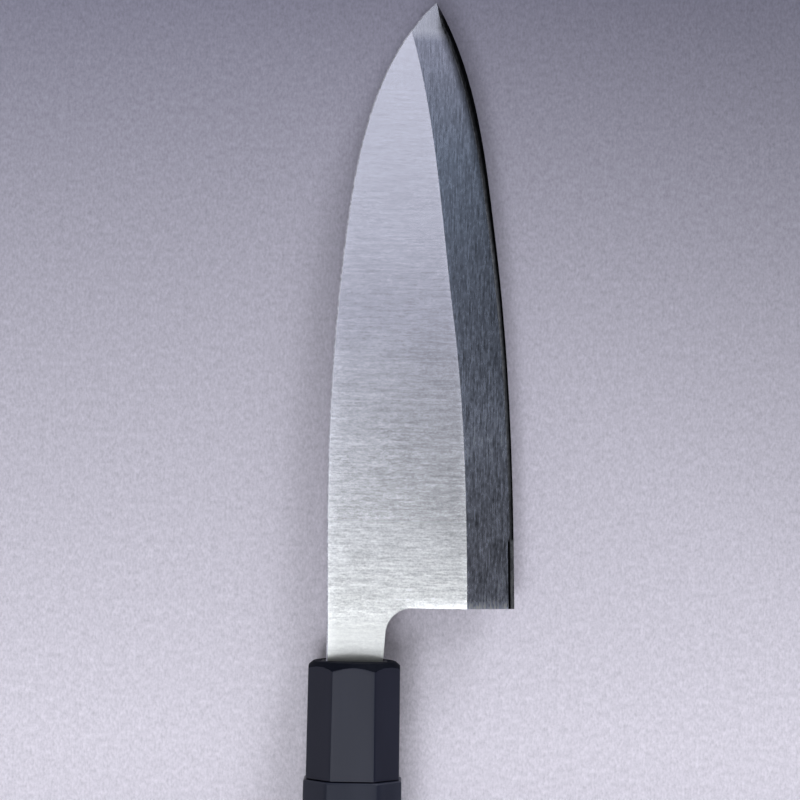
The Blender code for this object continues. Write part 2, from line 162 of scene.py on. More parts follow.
# How finely the shapes are divided
CURVE_STEPS = 120
BLADE_SECTIONS = 150
HEEL_SECTIONS = 12
SECTION_CROWDING = 1.5
CHOIL_STEPS = 32
CORNER_STEPS = 5
FLAT_STEPS = 14  # across one flat of the octagon
RIM_STEPS = 26
ROUND_SIDES = 96
BLADE_SHARP = 35  # degrees between faces from which an edge stays sharp
HANDLE_SHARP = 30

# Camera: above the blade, where its heel, tip and collar fall as in the photograph
CAMERA_HEIGHT = 0.75
CAMERA_ACROSS = 0.01012
CAMERA_ALONG = 0.06465
CAMERA_TURN = 1.0
LENS = 134.5  # on a 36 mm sensor

# Lamps as (name, tilt, turn, width, brightness), which add_lamp explains, fitted to the photograph
LAMPS = (
    ("over_tip", 7, 90, 12, 0.52),
    ("over_spine", 9, 182, 12, 0.90),
    ("over_edge_and_tip", 20, 45, 16, 0.67),
    ("ahead_of_tip", 20, 90, 16, 1.1),
    ("over_spine_and_neck", 20, 225, 16, 5.0),
    ("over_handle", 20, 270, 16, 7.5),
    ("beside_spine_and_neck", 34, 236, 20, 7.4),
    ("past_edge_and_tip", 52, 52, 24, 4.8),
    ("low_past_edge_and_tip", 76, 66, 24, 13.5),
)
LAMP_COLOUR = (0.87, 0.895, 1.0)
ROOM_COLOUR = (0.93, 0.95, 1.0)
ROOM_RANGE = (-1.0, 0.9)  # how far a place in the room lies towards the edge's side
ROOM_LEVELS = (0.26, 0.07)  # brighter on the spine's side

# Floor: even paper, with painted shade towards the far end and its right corner
FLOOR_REACH = 9.0
FLOOR_DROP = 0.00005
FLOOR_NEAR = (0.87, 0.82, 0.855)
FLOOR_FAR_PAINTED_SHADE = (0.272, 0.262, 0.317)
FLOOR_PAINTED_SHADE_RANGE = (-0.038, 0.148)  # where along the floor the near colour becomes the far one
FLOOR_GRAIN_RANGE = (0.78, 1.22)
FLOOR_CORNER_PAINTED_SHADE_RANGE = (0.09, 0.22)
FLOOR_CORNER_PAINTED_SHADE = 0.80

# Brightness of the flat and the bevel, and contrast of their streaks, as (along, factor) from the
# collar's front to the tip. They were matched to brightness measured in the photograph, so the
# brightness factors hold painted reflection and shade as well as the steel's colour, such as the
# collar's painted dark reflection where the flat starts.
FLAT_PAINTED_LEVELS = (
    (0.0, 0.34), (0.0012, 0.53), (0.0018, 0.66), (0.0026, 0.67), (0.0040, 0.81), (0.0060, 0.88),
    (0.0113, 0.95), (0.0150, 0.98), (0.0300, 0.88), (0.0398, 0.84), (0.0522, 0.88), (0.0646, 0.88),
    (0.0770, 0.87), (0.0860, 0.86), (0.0956, 0.945), (0.1018, 1.015), (0.1142, 1.02),
    (0.1204, 1.10), (0.1266, 1.12), (0.1390, 1.135), (0.1489, 1.18),
)
FLAT_CONTRAST = (
    (0.007, 0.10), (0.013, 0.33), (0.040, 0.32), (0.075, 0.20), (0.105, 0.12), (0.135, 0.065),
)
BEVEL_PAINTED_LEVELS = (
    (0.0133, 2.55), (0.0150, 2.0), (0.0165, 1.52), (0.0212, 1.42), (0.0400, 1.36), (0.0460, 1.40),
    (0.0550, 1.65), (0.0620, 1.46), (0.0708, 1.09), (0.0800, 0.965), (0.0894, 0.775),
    (0.1142, 0.74), (0.1241, 0.725), (0.1340, 0.80), (0.1439, 0.835), (0.1489, 0.99),
    (0.1539, 0.97), (0.1576, 0.81),
)
BEVEL_CONTRAST = (
    (0.014, 0.60), (0.052, 0.54), (0.089, 0.47), (0.140, 0.36), (0.1525, 0.30), (0.1550, 0.10),
)

# Flat: brighter beside the spine and warmer at the heel by painted reflection, and duller at the
# heel
FLAT_HEEL_PAINTED_TINT = (0.825, 0.83, 0.767)
FLAT_TIP_PAINTED_TINT = (0.71, 0.708, 0.79)
FLAT_COLOUR_RANGE = (0.008, 0.085)  # along the blade
FLAT_SPINE_PAINTED_GAIN = ((0.020, 0.0), (0.035, 0.085), (0.075, 0.06), (0.092, 0.0))
FLAT_SPINE_RANGE = (-0.004, 0.023)  # across the blade, from the full gain to a loss of as much
FLAT_DULLNESS = 0.23
FLAT_HEEL_DULLER = ((0.027, 0.058), (0.058, 0.0))  # as (along, more)

# Bevel: darker and bluer than the flat, partly its finish and partly painted dark reflection;
# lighter where the tip is reground, a painted reflection; painted shade beside the honed strip;
# duller at the heel
BEVEL_HEEL_COLOUR = (0.370, 0.390, 0.458)
BEVEL_BELLY_COLOUR = (0.338, 0.392, 0.490)
BEVEL_TIP_COLOUR = (0.370, 0.385, 0.470)
BEVEL_REGROUND_PAINTED_COLOUR = (0.70, 0.71, 0.79)
BEVEL_BELLY_RANGE = (0.030, 0.110)
BEVEL_TIP_RANGE = (0.125, 0.150)
BEVEL_REGROUND_PAINTED_RANGE = (-0.0022, 0.0004)  # from the place beside the end of the bevel's line
BEVEL_STRIP_PAINTED_SHADE = ((0.0, 0.85), (0.00022, 0.0))  # as (above the strip, share)
BEVEL_STRIP_PAINTED_SHADE_RANGE = (0.10, 0.135)
BEVEL_DULLNESS = (0.25, 0.28)
BEVEL_HEEL_DULLER = ((HEEL_ALONG, 0.11), (HEEL_ALONG + 0.0022, 0.0))

# Honed strip: its upper border as (along, height above the back), and its painted reflections,
# black and grey
STRIP_TOP = (
    (0.031, 0.00056), (0.0845, 0.00069), (0.129, 0.00086), (0.149, 0.00096), (0.1570, 0.00096),
    (0.1592, 0.00080), (0.1625, 0.00050),
)
STRIP_PAINTED_BLACK_REFLECTION = (0.02, 0.021, 0.025)
STRIP_HEEL_PAINTED_GREY = (0.80, 0.82, 0.88)
STRIP_UPPER_PAINTED_GREY = (1.0, 1.03, 1.12)
STRIP_UPPER_PAINTED_LEVEL = ((0.036, 0.5), (0.052, 0.85), (0.095, 0.9), (0.125, 0.30), (0.138, 0.12))
STRIP_UPPER_RANGE = (-0.00036, 0.0)  # from its upper border, where black becomes grey
STRIP_HEEL_RANGE = (-0.00008, 0.00004)  # the same at the heel, where grey becomes black

# Noise, where a stretch is how often the grain repeats in a metre
NOISE_RANGE = (0.3, 0.7)  # where nearly all values of a noise lie
SUM_RANGE = (0.6, 1.4)  # the same for the sum of two noises
STREAK_RANGE = (0.38, 0.62)  # and for the mean of a few
STREAK_SHIFT = 0.3
STREAK_SHIFT_STEP = 7  # from one layer of streaks to the next
STEEL_CLOUD_STRETCH = 70.0
STEEL_CLOUD_RANGE = (0.97, 1.03)

# Material slots of the blade, and the slot of a turned end on the collar and the handle body
FLAT, BEVEL, ROLL, SIDES, BACK = range(5)
TURNED = 1
TURNED_FACING = 0.3  # how far a turned face looks along the handle


class Look:
    """A material's node tree, with short calls that add and join nodes."""

    def __init__(self, name, metallic=0.0, roughness=0.5, specular=0.5):
        self.material = bpy.data.materials.new(name)
        self.material.use_nodes = True
        self.tree = self.material.node_tree
        self.shader = self.tree.nodes["Principled BSDF"]
        self.shader.inputs["Metallic"].default_value = metallic
        self.shader.inputs["Roughness"].default_value = roughness
        self.shader.inputs["Specular IOR Level"].default_value = specular
        self.place = self.node("ShaderNodeTexCoord").outputs["Object"]
        self.parts = self.node("ShaderNodeSeparateXYZ", {"Vector": self.place})

    def node(self, kind, inputs=None, **settings):
        """Adds a node, sets its properties, and fills its inputs with values or links."""
        made = self.tree.nodes.new(kind)
        for name, value in settings.items():
            setattr(made, name, value)
        for name, value in (inputs or {}).items():
            if isinstance(value, bpy.types.NodeSocket):
                self.tree.links.new(value, made.inputs[name])
            else:
                made.inputs[name].default_value = value
        return made

    def noise(self, stretch, detail=3.0, roughness=0.55, shift=0.0):
        """Noise from 0 to 1, with one stretch for all ways, or one each along X, Y and Z."""
        stretches = stretch if isinstance(stretch, tuple) else (stretch, stretch, stretch)
        inputs = {"Vector": self.place, "Scale": stretches, "Location": (shift, shift, shift)}
        scaled = self.node("ShaderNodeMapping", inputs)
        inputs = {
            "Vector": scaled.outputs["Vector"],
            "Scale": 1.0,
            "Detail": detail,
            "Roughness": roughness,
        }
        return self.node("ShaderNodeTexNoise", inputs).outputs["Fac"]

    def spread(self, value, low, high, to_low, to_high):
        """Maps a value from low..high to to_low..to_high, and clamps it."""
        inputs = {
            "Value": value,
            "From Min": low,
            "From Max": high,
            "To Min": to_low,
            "To Max": to_high,
        }
        return self.node("ShaderNodeMapRange", inputs).outputs["Result"]

    def within(self, noise, to_low=0.0, to_high=1.0):
        """Maps the usual range of a noise to to_low..to_high."""
        return self.spread(noise, *NOISE_RANGE, to_low, to_high)

    def rise(self, value, span):
        """Rises from 0 to 1 as a value goes from the span's start to its end."""
        return self.spread(value, *span, 0.0, 1.0)

    def sum(self, first, second):
        """Two values added, each a number or a link."""
        return self.node("ShaderNodeMath", {0: first, 1: second}, operation="ADD").outputs[0]

    def product(self, first, second):
        """Two values multiplied, each a number or a link."""
        return self.node("ShaderNodeMath", {0: first, 1: second}, operation="MULTIPLY").outputs[0]

    def mix(self, share, first, second):
        """A colour between two colours, each given as three numbers or as a link."""
        made = self.node("ShaderNodeMix", data_type="RGBA")
        self.tree.links.new(share, made.inputs["Factor"])
        for name, value in (("A", first), ("B", second)):
            socket = next(s for s in made.inputs if s.name == name and s.type == "RGBA")
            if isinstance(value, bpy.types.NodeSocket):
                self.tree.links.new(value, socket)
            else:
                socket.default_value = (*value, 1.0)
        return next(s for s in made.outputs if s.type == "RGBA")

    def scaled(self, colour, factor):
        """A colour made lighter or darker by a factor."""
        inputs = {0: colour, "Scale": factor}
        return self.node("ShaderNodeVectorMath", inputs, operation="SCALE").outputs["Vector"]

    def through(self, value, stops):
        """Follows a value on straight lines through the stops, each a value and its result."""
        result = stops[0][1]
        for (start, low), (end, high) in zip(stops, stops[1:]):
            result = self.sum(result, self.spread(value, start, end, 0.0, high - low))
        return result

    def across(self):
        """How far a place lies from the handle's axis towards the cutting edge."""
        return self.sum(self.parts.outputs["X"], -AXIS.x)

    def along(self):
        """How far a place lies ahead of the collar's front."""
        return self.sum(self.parts.outputs["Y"], -AXIS.y)

    def above_strip(self):
        """How far a place lies above the line where the bevel meets the honed strip."""
        above_back = self.sum(self.parts.outputs["Z"], -AXIS.z - BACK_UP)
        return self.sum(above_back, self.product(self.through(self.along(), STRIP_TOP), -1.0))

    def bump(self, height, distance, strength=1.0, below=None):
        """A surface raised by a height times the distance, over any bump below it."""
        inputs = {"Height": height, "Distance": distance, "Strength": strength}
        if below:
            inputs["Normal"] = below
        return self.node("ShaderNodeBump", inputs).outputs["Normal"]

    def worn_and_highlit_edges(self, radius, low, high):
        """1 along convex or hollow edges within the radius, 0 on open faces."""
        rounded = self.node("ShaderNodeBevel", {"Radius": radius}, samples=6).outputs["Normal"]
        facing = self.node("ShaderNodeNewGeometry").outputs["Normal"]
        inputs = {0: rounded, 1: facing}
        likeness = self.node("ShaderNodeVectorMath", inputs, operation="DOT_PRODUCT")
        return self.spread(likeness.outputs["Value"], high, low, 0.0, 1.0)

    def finish(self, colour=None, roughness=None, normal=None):
        """Joins what is given to the shader, and returns the finished material."""
        for name, value in (("Base Color", colour), ("Roughness", roughness), ("Normal", normal)):
            if value:
                self.tree.links.new(value, self.shader.inputs[name])
        return self.material


def brushed(look, colour, contrast, stretches, roughness, scratch):
    """Finishes ground steel, whose streaks run where their stretch is small.

    The lighter a streak, the nearer its roughness is to the second of the two given, and the
    lightest stand up by scratch.
    """
    grain = 0.0
    for index, stretch in enumerate(stretches):
        shift = STREAK_SHIFT + STREAK_SHIFT_STEP * index
        streaks = look.noise(stretch, detail=1.5, shift=shift)
        grain = look.sum(grain, look.product(streaks, 1 / len(stretches)))
    clouds = look.within(look.noise(STEEL_CLOUD_STRETCH, detail=2.0), *STEEL_CLOUD_RANGE)
    swing = look.product(look.spread(grain, *STREAK_RANGE, -1.0, 1.0), contrast)
    shine = look.spread(grain, *STREAK_RANGE, *roughness)
    tint = look.scaled(colour, look.sum(clouds, swing))
    return look.finish(tint, shine, look.bump(swing, scratch))


def flat_steel():
    """The flat, ground across the blade, brighter by painted reflection and coarser towards the
    heel.
    """
    look = Look("flat_steel", metallic=1.0, roughness=FLAT_DULLNESS)
    along = look.along()
    towards_tip = look.rise(along, FLAT_COLOUR_RANGE)
    # Painted reflection: warmer at the heel, cooler towards the tip
    plain = look.mix(towards_tip, FLAT_HEEL_PAINTED_TINT, FLAT_TIP_PAINTED_TINT)
    towards_spine = look.spread(look.across(), *FLAT_SPINE_RANGE, 1.0, -1.0)
    # Painted reflection, brighter beside the spine
    painted_gain = look.product(towards_spine, look.through(along, FLAT_SPINE_PAINTED_GAIN))
    # Brightness along the blade, with painted reflection and shade
    colour = look.scaled(plain, look.sum(look.through(along, FLAT_PAINTED_LEVELS), painted_gain))
    dullness = look.sum(look.through(along, FLAT_HEEL_DULLER), FLAT_DULLNESS)
    stretches = (
        (117.0, 1733.0, 9.0),
        (331.0, 1949.0, 11.0),
        (1003.0, 2217.0, 13.0),
        (2189.0, 2551.0, 7.0),
    )
    contrast = look.through(along, FLAT_CONTRAST)
    return brushed(look, colour, contrast, stretches, (dullness, dullness), 0.000002)


def bevel_colour(look, along):
    """The bevel's colour towards the belly and the tip, lightened by painted reflection at the
    reground tip.
    """
    line_end = TIP_ALONG - BEVEL_END_FROM_TIP[1]
    colour = look.mix(look.rise(along, BEVEL_BELLY_RANGE), BEVEL_HEEL_COLOUR, BEVEL_BELLY_COLOUR)
    colour = look.mix(look.rise(along, BEVEL_TIP_RANGE), colour, BEVEL_TIP_COLOUR)
    # Painted reflection, lighter where the tip is reground
    from_line_end = look.sum(along, -line_end)
    reground = look.rise(from_line_end, BEVEL_REGROUND_PAINTED_RANGE)
    return look.mix(reground, colour, BEVEL_REGROUND_PAINTED_COLOUR)


def bevel_steel():
    """The bevel, ground along the blade, lighter by painted reflection at the heel and reground
    tip.
    """
    look = Look("bevel_steel", metallic=1.0, roughness=sum(BEVEL_DULLNESS) / 2)
    along = look.along()
    # Painted shade on the bevel beside the honed strip, towards the tip
    painted_shade_near_strip = look.through(look.above_strip(), BEVEL_STRIP_PAINTED_SHADE)
    painted_shade_lost = look.product(painted_shade_near_strip, look.spread(along, *BEVEL_STRIP_PAINTED_SHADE_RANGE, 0.0, -1.0))
    # Brightness along the bevel, with painted reflection and shade
    level = look.product(look.through(along, BEVEL_PAINTED_LEVELS), look.sum(painted_shade_lost, 1.0))
    colour = look.scaled(bevel_colour(look, along), level)
    duller = look.through(along, BEVEL_HEEL_DULLER)
    roughness = [look.sum(duller, dullness) for dullness in BEVEL_DULLNESS]
    contrast = look.through(along, BEVEL_CONTRAST)
    stretches = ((2400.0, 120.0, 60.0), (2600.0, 300.0, 60.0), (2900.0, 800.0, 60.0))
    return brushed(look, colour, contrast, stretches, roughness, 0.000003)


def roll_steel():
    """The honed strip: painted black reflection towards the cutting edge, a grey border near the
    heel.
    """
    look = Look("edge_steel", metallic=1.0, roughness=0.16)
    along = look.along()
    height = look.above_strip()
    # Painted reflections: black, greying towards the upper border; near the heel grey with a black
    # line
    upper = look.scaled(STRIP_UPPER_PAINTED_GREY, look.through(along, STRIP_UPPER_PAINTED_LEVEL))
    plain = look.mix(look.rise(height, STRIP_UPPER_RANGE), STRIP_PAINTED_BLACK_REFLECTION, upper)
    near_heel = look.mix(look.rise(height, STRIP_HEEL_RANGE), STRIP_HEEL_PAINTED_GREY, STRIP_PAINTED_BLACK_REFLECTION)
    border_end = HEEL_ALONG + EDGE_ROLL_HEEL_LENGTH
    past_heel = look.rise(along, (border_end, border_end + EDGE_ROLL_HEEL_RUN_OUT))
    colour = look.mix(past_heel, near_heel, plain)
    stretches = ((2000.0, 200.0, 60.0), (2600.0, 900.0, 60.0))
    return brushed(look, colour, 0.4, stretches, (0.14, 0.18), 0.000002)


def side_steel():
    """Spine, choil and heel, ground square to the blade and left matte."""
    look = Look("side_steel", metallic=1.0, roughness=0.52)
    stretches = ((900.0, 900.0, 120.0), (1600.0, 1600.0, 400.0))
    return brushed(look, (0.81, 0.81, 0.85), 0.2, stretches, (0.45, 0.6), 0.00002)


def back_steel():
    """The hollowed back, ground across the blade."""
    look = Look("back_steel", metallic=1.0, roughness=0.25)
    stretches = ((160.0, 1700.0, 12.0), (380.0, 1900.0, 12.0), (800.0, 2100.0, 12.0))
    return brushed(look, (0.60, 0.60, 0.635), 0.3, stretches, (0.23, 0.26), 0.000004)


def handle_resin(name, dark, light, roughness=(0.36, 0.48)):
    """Moulded resin with a fine satin skin, a little paler along the corners as wear and painted
    highlight.
    """
    look = Look(name, roughness=sum(roughness) / 2, specular=0.45)
    clouds = look.noise((120.0, 40.0, 120.0), detail=4.0)
    skin = look.noise(5200.0, detail=2.0)
    drawn = look.noise((1500.0, 60.0, 1500.0), detail=3.0)
    # Paler along the corners: edge wear and a painted highlight
    edge_wear_and_highlight = look.worn_and_highlit_edges(radius=0.0005, low=0.93, high=0.995)
    plain = look.mix(look.within(clouds), dark, light)
    pale = tuple(1.45 * value for value in light)
    colour = look.mix(look.product(edge_wear_and_highlight, look.spread(drawn, 0.35, 0.7, 0.1, 0.6)), plain, pale)
    shine = look.spread(look.sum(skin, drawn), *SUM_RANGE, *reversed(roughness))
    grain = look.bump(skin, 0.000012, strength=0.6)
    return look.finish(colour, shine, look.bump(drawn, 0.000006, strength=0.5, below=grain))


def turned_resin_painted_dark(name):
    """The turned end of a handle piece, duller and darker than its moulded flats, partly by painted
    shade.
    """
    look = Look(name, roughness=0.55, specular=0.05)
    off_axis = (-AXIS.x, 0.0, -AXIS.z)
    inputs = {"Vector": look.place, "Location": off_axis, "Scale": (1.0, 0.0, 1.0)}
    flattened = look.node("ShaderNodeMapping", inputs)
    radius = look.node("ShaderNodeVectorMath", {0: flattened.outputs[0]}, operation="LENGTH")
    inputs = {"W": radius.outputs["Value"], "Scale": 6000.0, "Detail": 3.0}
    grooves = look.node("ShaderNodeTexNoise", inputs, noise_dimensions="1D").outputs["Fac"]
    clouds = look.noise(300.0)
    share = look.spread(look.sum(grooves, clouds), 0.7, 1.3, 0.0, 1.0)
    # Darker than the moulded resin, partly as painted shade
    colour = look.mix(share, (0.0025, 0.0035, 0.007), (0.005, 0.006, 0.011))
    shine = look.within(clouds, 0.75, 0.6)
    return look.finish(colour, shine, look.bump(grooves, 0.000006))


def wood():
    """The dowel's straight-grained hardwood."""
    look = Look("dowel_wood", roughness=0.7)
    grain = look.noise((700.0, 22.0, 700.0), detail=5.0)
    pores = look.noise((2600.0, 160.0, 2600.0), detail=2.0)
    share = look.spread(look.sum(grain, look.product(pores, 0.4)), 0.45, 0.95, 0.0, 1.0)
    colour = look.mix(share, (0.38, 0.26, 0.15), (0.62, 0.49, 0.32))
    shine = look.within(pores, 0.8, 0.6)
    return look.finish(colour, shine, look.bump(pores, 0.00002))


def adhesive():
    """Cured epoxy, smooth and a little cloudy."""
    look = Look("cured_adhesive", roughness=0.35)
    clouds = look.noise(300.0)
    ripples = look.noise(900.0, detail=2.0)
    colour = look.mix(look.within(clouds), (0.62, 0.55, 0.38), (0.76, 0.70, 0.54))
    shine = look.within(ripples, 0.3, 0.45)
    return look.finish(colour, shine, look.bump(ripples, 0.00003))


def sealant():
    """Black filler, smoothed by hand round the neck."""
    look = Look("sealant", roughness=0.6)
    clouds = look.noise(500.0)
    skin = look.noise(2500.0)
    colour = look.mix(look.within(clouds), (0.016, 0.016, 0.019), (0.032, 0.032, 0.037))
    shine = look.within(skin, 0.5, 0.75)
    return look.finish(colour, shine, look.bump(skin, 0.00004))


def floor_paper():
    """Matte grey-lilac paper, with painted shade towards the far end and its right corner."""
    look = Look("floor_paper", roughness=0.9, specular=0.1)
    across, along = look.parts.outputs["X"], look.parts.outputs["Y"]
    # Painted shade darkens the paper from the near colour to the far one
    colour = look.mix(look.rise(along, FLOOR_PAINTED_SHADE_RANGE), FLOOR_NEAR, FLOOR_FAR_PAINTED_SHADE)
    speck = look.noise(500.0, detail=4.0, roughness=0.8)
    fibres = look.noise((1800.0, 900.0, 700.0), detail=2.0, shift=5.0)
    grain = look.spread(look.sum(speck, fibres), *SUM_RANGE, *FLOOR_GRAIN_RANGE)
    towards_corner = look.sum(across, along)
    # Painted shade darkens the paper towards its right corner
    corner = look.spread(towards_corner, *FLOOR_CORNER_PAINTED_SHADE_RANGE, 1.0, FLOOR_CORNER_PAINTED_SHADE)
    shaded = look.scaled(colour, look.product(grain, corner))
    return look.finish(shaded, None, look.bump(speck, 0.00003, strength=0.5))


def mesh_from_bmesh(name, bm):
    bmesh.ops.recalc_face_normals(bm, faces=bm.faces)
    mesh = bpy.data.meshes.new(name)
    bm.to_mesh(mesh)
    bm.free()
    return mesh


def add_object(name, mesh, materials=()):
    made = bpy.data.objects.new(name, mesh)
    bpy.context.scene.collection.objects.link(made)
    for material in materials:
        mesh.materials.append(material)
    return made


def shape_with(piece, cutter, operation):
    """Applies a Boolean with a cutter, which is then removed."""
    boolean = piece.modifiers.new("cut", "BOOLEAN")
    boolean.operation = operation
    boolean.solver = "EXACT"
    boolean.object = cutter
    bpy.context.view_layer.update()
    graph = bpy.context.evaluated_depsgraph_get()
    mesh = bpy.data.meshes.new_from_object(piece.evaluated_get(graph))
    piece.modifiers.clear()
    piece.data = mesh
    bpy.data.objects.remove(cutter)


def shade(mesh, angle):
    """Smooth shading, except across steep edges and where one surface's finish meets another's."""
    bm = bmesh.new()
    bm.from_mesh(mesh)
    for face in bm.faces:
        face.smooth = True
    for edge in bm.edges:
        finishes = {face.material_index for face in edge.link_faces}
        steep = edge.calc_face_angle(math.pi) > math.radians(angle)
        edge.smooth = len(finishes) == 1 and not steep
    bm.to_mesh(mesh)
    bm.free()


def loft(name, rings, slots=None):
    """A closed solid through rings of as many points each, with a material slot for each span."""
    bm = bmesh.new()
    rows = [[bm.verts.new(point) for point in ring] for ring in rings]
    for row, following in zip(rows, rows[1:]):
        for index in range(len(row)):
            after = (index + 1) % len(row)
            face = bm.faces.new((row[index], row[after], following[after], following[index]))
            if slots:
                face.material_index = slots[index]
    bm.faces.new(rows[0])
    bm.faces.new(rows[-1])
    bmesh.ops.remove_doubles(bm, verts=bm.verts, dist=SAME_POINT)
    return mesh_from_bmesh(name, bm)


def round_bar(name, front, rear, radius):
    bm = bmesh.new()
    bmesh.ops.create_cone(
        bm,
        cap_ends=True,
        segments=ROUND_SIDES,
        radius1=radius,
        radius2=radius,
        depth=front - rear,
    )
    turn = Matrix.Rotation(math.radians(90), 4, "X")
    middle = Matrix.Translation((AXIS.x, AXIS.y + (front + rear) / 2, AXIS.z))
    bmesh.ops.transform(bm, matrix=middle @ turn, verts=bm.verts)
    return mesh_from_bmesh(name, bm)


def block(name, front, rear, depth, thickness):
    """A bar of rectangular section, depth across the handle and thickness in height."""
    bm = bmesh.new()
    bmesh.ops.create_cube(bm, size=1.0)
    size = Matrix.Diagonal((depth, front - rear, thickness, 1.0))
    middle = Matrix.Translation((AXIS.x, AXIS.y + (front + rear) / 2, AXIS.z))
    bmesh.ops.transform(bm, matrix=middle @ size, verts=bm.verts)
    return mesh_from_bmesh(name, bm)


def direction(degrees):
    """Unit vector (across, along), turned from the handle's axis towards the edge."""
    return Vector((math.sin(math.radians(degrees)), math.cos(math.radians(degrees))))


def bulged_point(start, end, share, bulge):
    """A point beside the line from start to end, on the edge's side for a positive bulge."""
    chord = end - start
    outward = Vector((chord.y, -chord.x)).normalized()
    return start + share * chord + bulge * outward


def smooth_line(points, headings):
    """A smooth line through the points, with a given heading at each."""
    line = []
    anchors = list(zip(points, [direction(heading) for heading in headings]))
    for (start, start_way), (end, end_way) in zip(anchors, anchors[1:]):
        pull = (end - start).length / 3
        controls = (start, start + pull * start_way, end - pull * end_way, end)
        line += interpolate_bezier(*[control.to_3d() for control in controls], CURVE_STEPS)
    return line


def across_at(line, along):
    """Where a line that runs forwards lies at a given distance along the knife."""
    if along <= line[0].y:
        return line[0].x
    for point, following in zip(line, line[1:]):
        if along <= following.y and following.y > point.y:
            share = (along - point.y) / (following.y - point.y)
            return point.x + share * (following.x - point.x)
    end, before_end = line[-1], line[-4]  # far enough apart for a steady slope
    slope = (end.x - before_end.x) / (end.y - before_end.y)
    return end.x + slope * (along - end.y)


def edge_line():
    """The cutting edge from the heel to the tip."""
    belly = bulged_point(HEEL, TIP, EDGE_BELLY_SHARE, EDGE_BELLY)
    return smooth_line((HEEL, belly, TIP), EDGE_HEADINGS)


def bevel_line():
    """The line between the flat and the bevel, which runs on straight past its end."""
    start = Vector((HEEL.x - BEVEL_WIDTH, HEEL.y))
    end = TIP - Vector(BEVEL_END_FROM_TIP)
    belly = bulged_point(start, end, BEVEL_BELLY_SHARE, BEVEL_BELLY)
    return smooth_line((start, belly, end), BEVEL_HEADINGS)


def spine_line():
    """The spine from the collar to the tip."""
    start = Vector((-NECK_DEPTH / 2, 0.0))
    bow = Vector((start.x - SPINE_BOW, SPINE_BOW_AT))
    shoulder = bulged_point(bow, TIP, SPINE_SHOULDER_SHARE, -SPINE_SHOULDER)
    return smooth_line((start, bow, shoulder, TIP), SPINE_HEADINGS)


def ease(value, start, end):
    """Rises smoothly from 0 at start to 1 at end."""
    share = min(1.0, max(0.0, (value - start) / (end - start)))
    return share * share * (3 - 2 * share)


def soft_least(first, second, softness):
    """The smaller of two lengths, eased where they are nearly the same."""
    blend = max(0.0, softness - abs(first - second)) / softness
    return min(first, second) - blend * blend * softness / 4


def share_to_tip(along):
    return max(0.0, (along - HEEL.y) / BLADE_LENGTH)


def thickness_at(along):
    if along < 0:
        return BLADE_THICKNESS + (BLADE_THICKNESS - TANG_END_THICKNESS) * along / TANG_LENGTH
    return BLADE_THICKNESS - (BLADE_THICKNESS - TIP_THICKNESS) * share_to_tip(along)


def hollow_at(along, width):
    """Depth and rim width of the hollow in the back, which runs out towards heel and tip."""
    opening = ease(along, HOLLOW_START, HOLLOW_START + HOLLOW_RUN_OUT)
    closing = ease(TIP.y - along, 0.0, HOLLOW_RUN_OUT)
    return HOLLOW_DEPTH * opening * closing, min(HOLLOW_RIM, width / 4)


def nearness(distance, reach):
    """1 at a line, easing to 0 at its reach."""
    share = min(1.0, max(0.0, 1 - distance / reach))
    return share * share


def flat_wear(across, along, spine_at, bevel_at):
    """How far polishing has raised or lowered the blade's upper side at one place."""
    lip = FLAT_LIP * nearness(abs(bevel_at - across), FLAT_LIP_WIDTH)
    fall = SPINE_FALL * (1 - SPINE_FALL_LOSS * share_to_tip(along))
    fall *= nearness(across - spine_at, SPINE_FALL_WIDTH)
    choil_end = NECK_DEPTH / 2 + CHOIL_RADIUS
    on_heel = ease(across, choil_end - CHOIL_RADIUS / 2, choil_end)
    return lip - fall - HEEL_FALL * on_heel * nearness(along - HEEL.y, HEEL_FALL_WIDTH)


def roll_size(along, width):
    """Width and height of the honed strip, which is wider at the heel and runs out at the tip."""
    widening = (EDGE_ROLL_TIP_WIDTH - EDGE_ROLL_WIDTH) * share_to_tip(along) ** EDGE_ROLL_GROWTH
    past_heel = ease(along - HEEL.y - EDGE_ROLL_HEEL_LENGTH, 0.0, EDGE_ROLL_HEEL_RUN_OUT)
    full_roll = EDGE_ROLL_WIDTH + widening + EDGE_ROLL_HEEL_EXTRA * (1 - past_heel)
    roll = soft_least(full_roll, width * EDGE_ROLL_TIP_SHARE, min(EDGE_ROLL_TIP_BLEND, width / 4))
    kept = TIP_HEIGHT_SHARE + (1 - TIP_HEIGHT_SHARE) * roll / full_roll
    return roll, EDGE_LAND + kept * full_roll * math.tan(math.radians(EDGE_ROLL_ANGLE))


def straight(start, end):
    """The straight way from start to end, as a function of the share gone."""
    return lambda share: (
        start[0] + share * (end[0] - start[0]),
        start[1] + share * (end[1] - start[1]),
    )


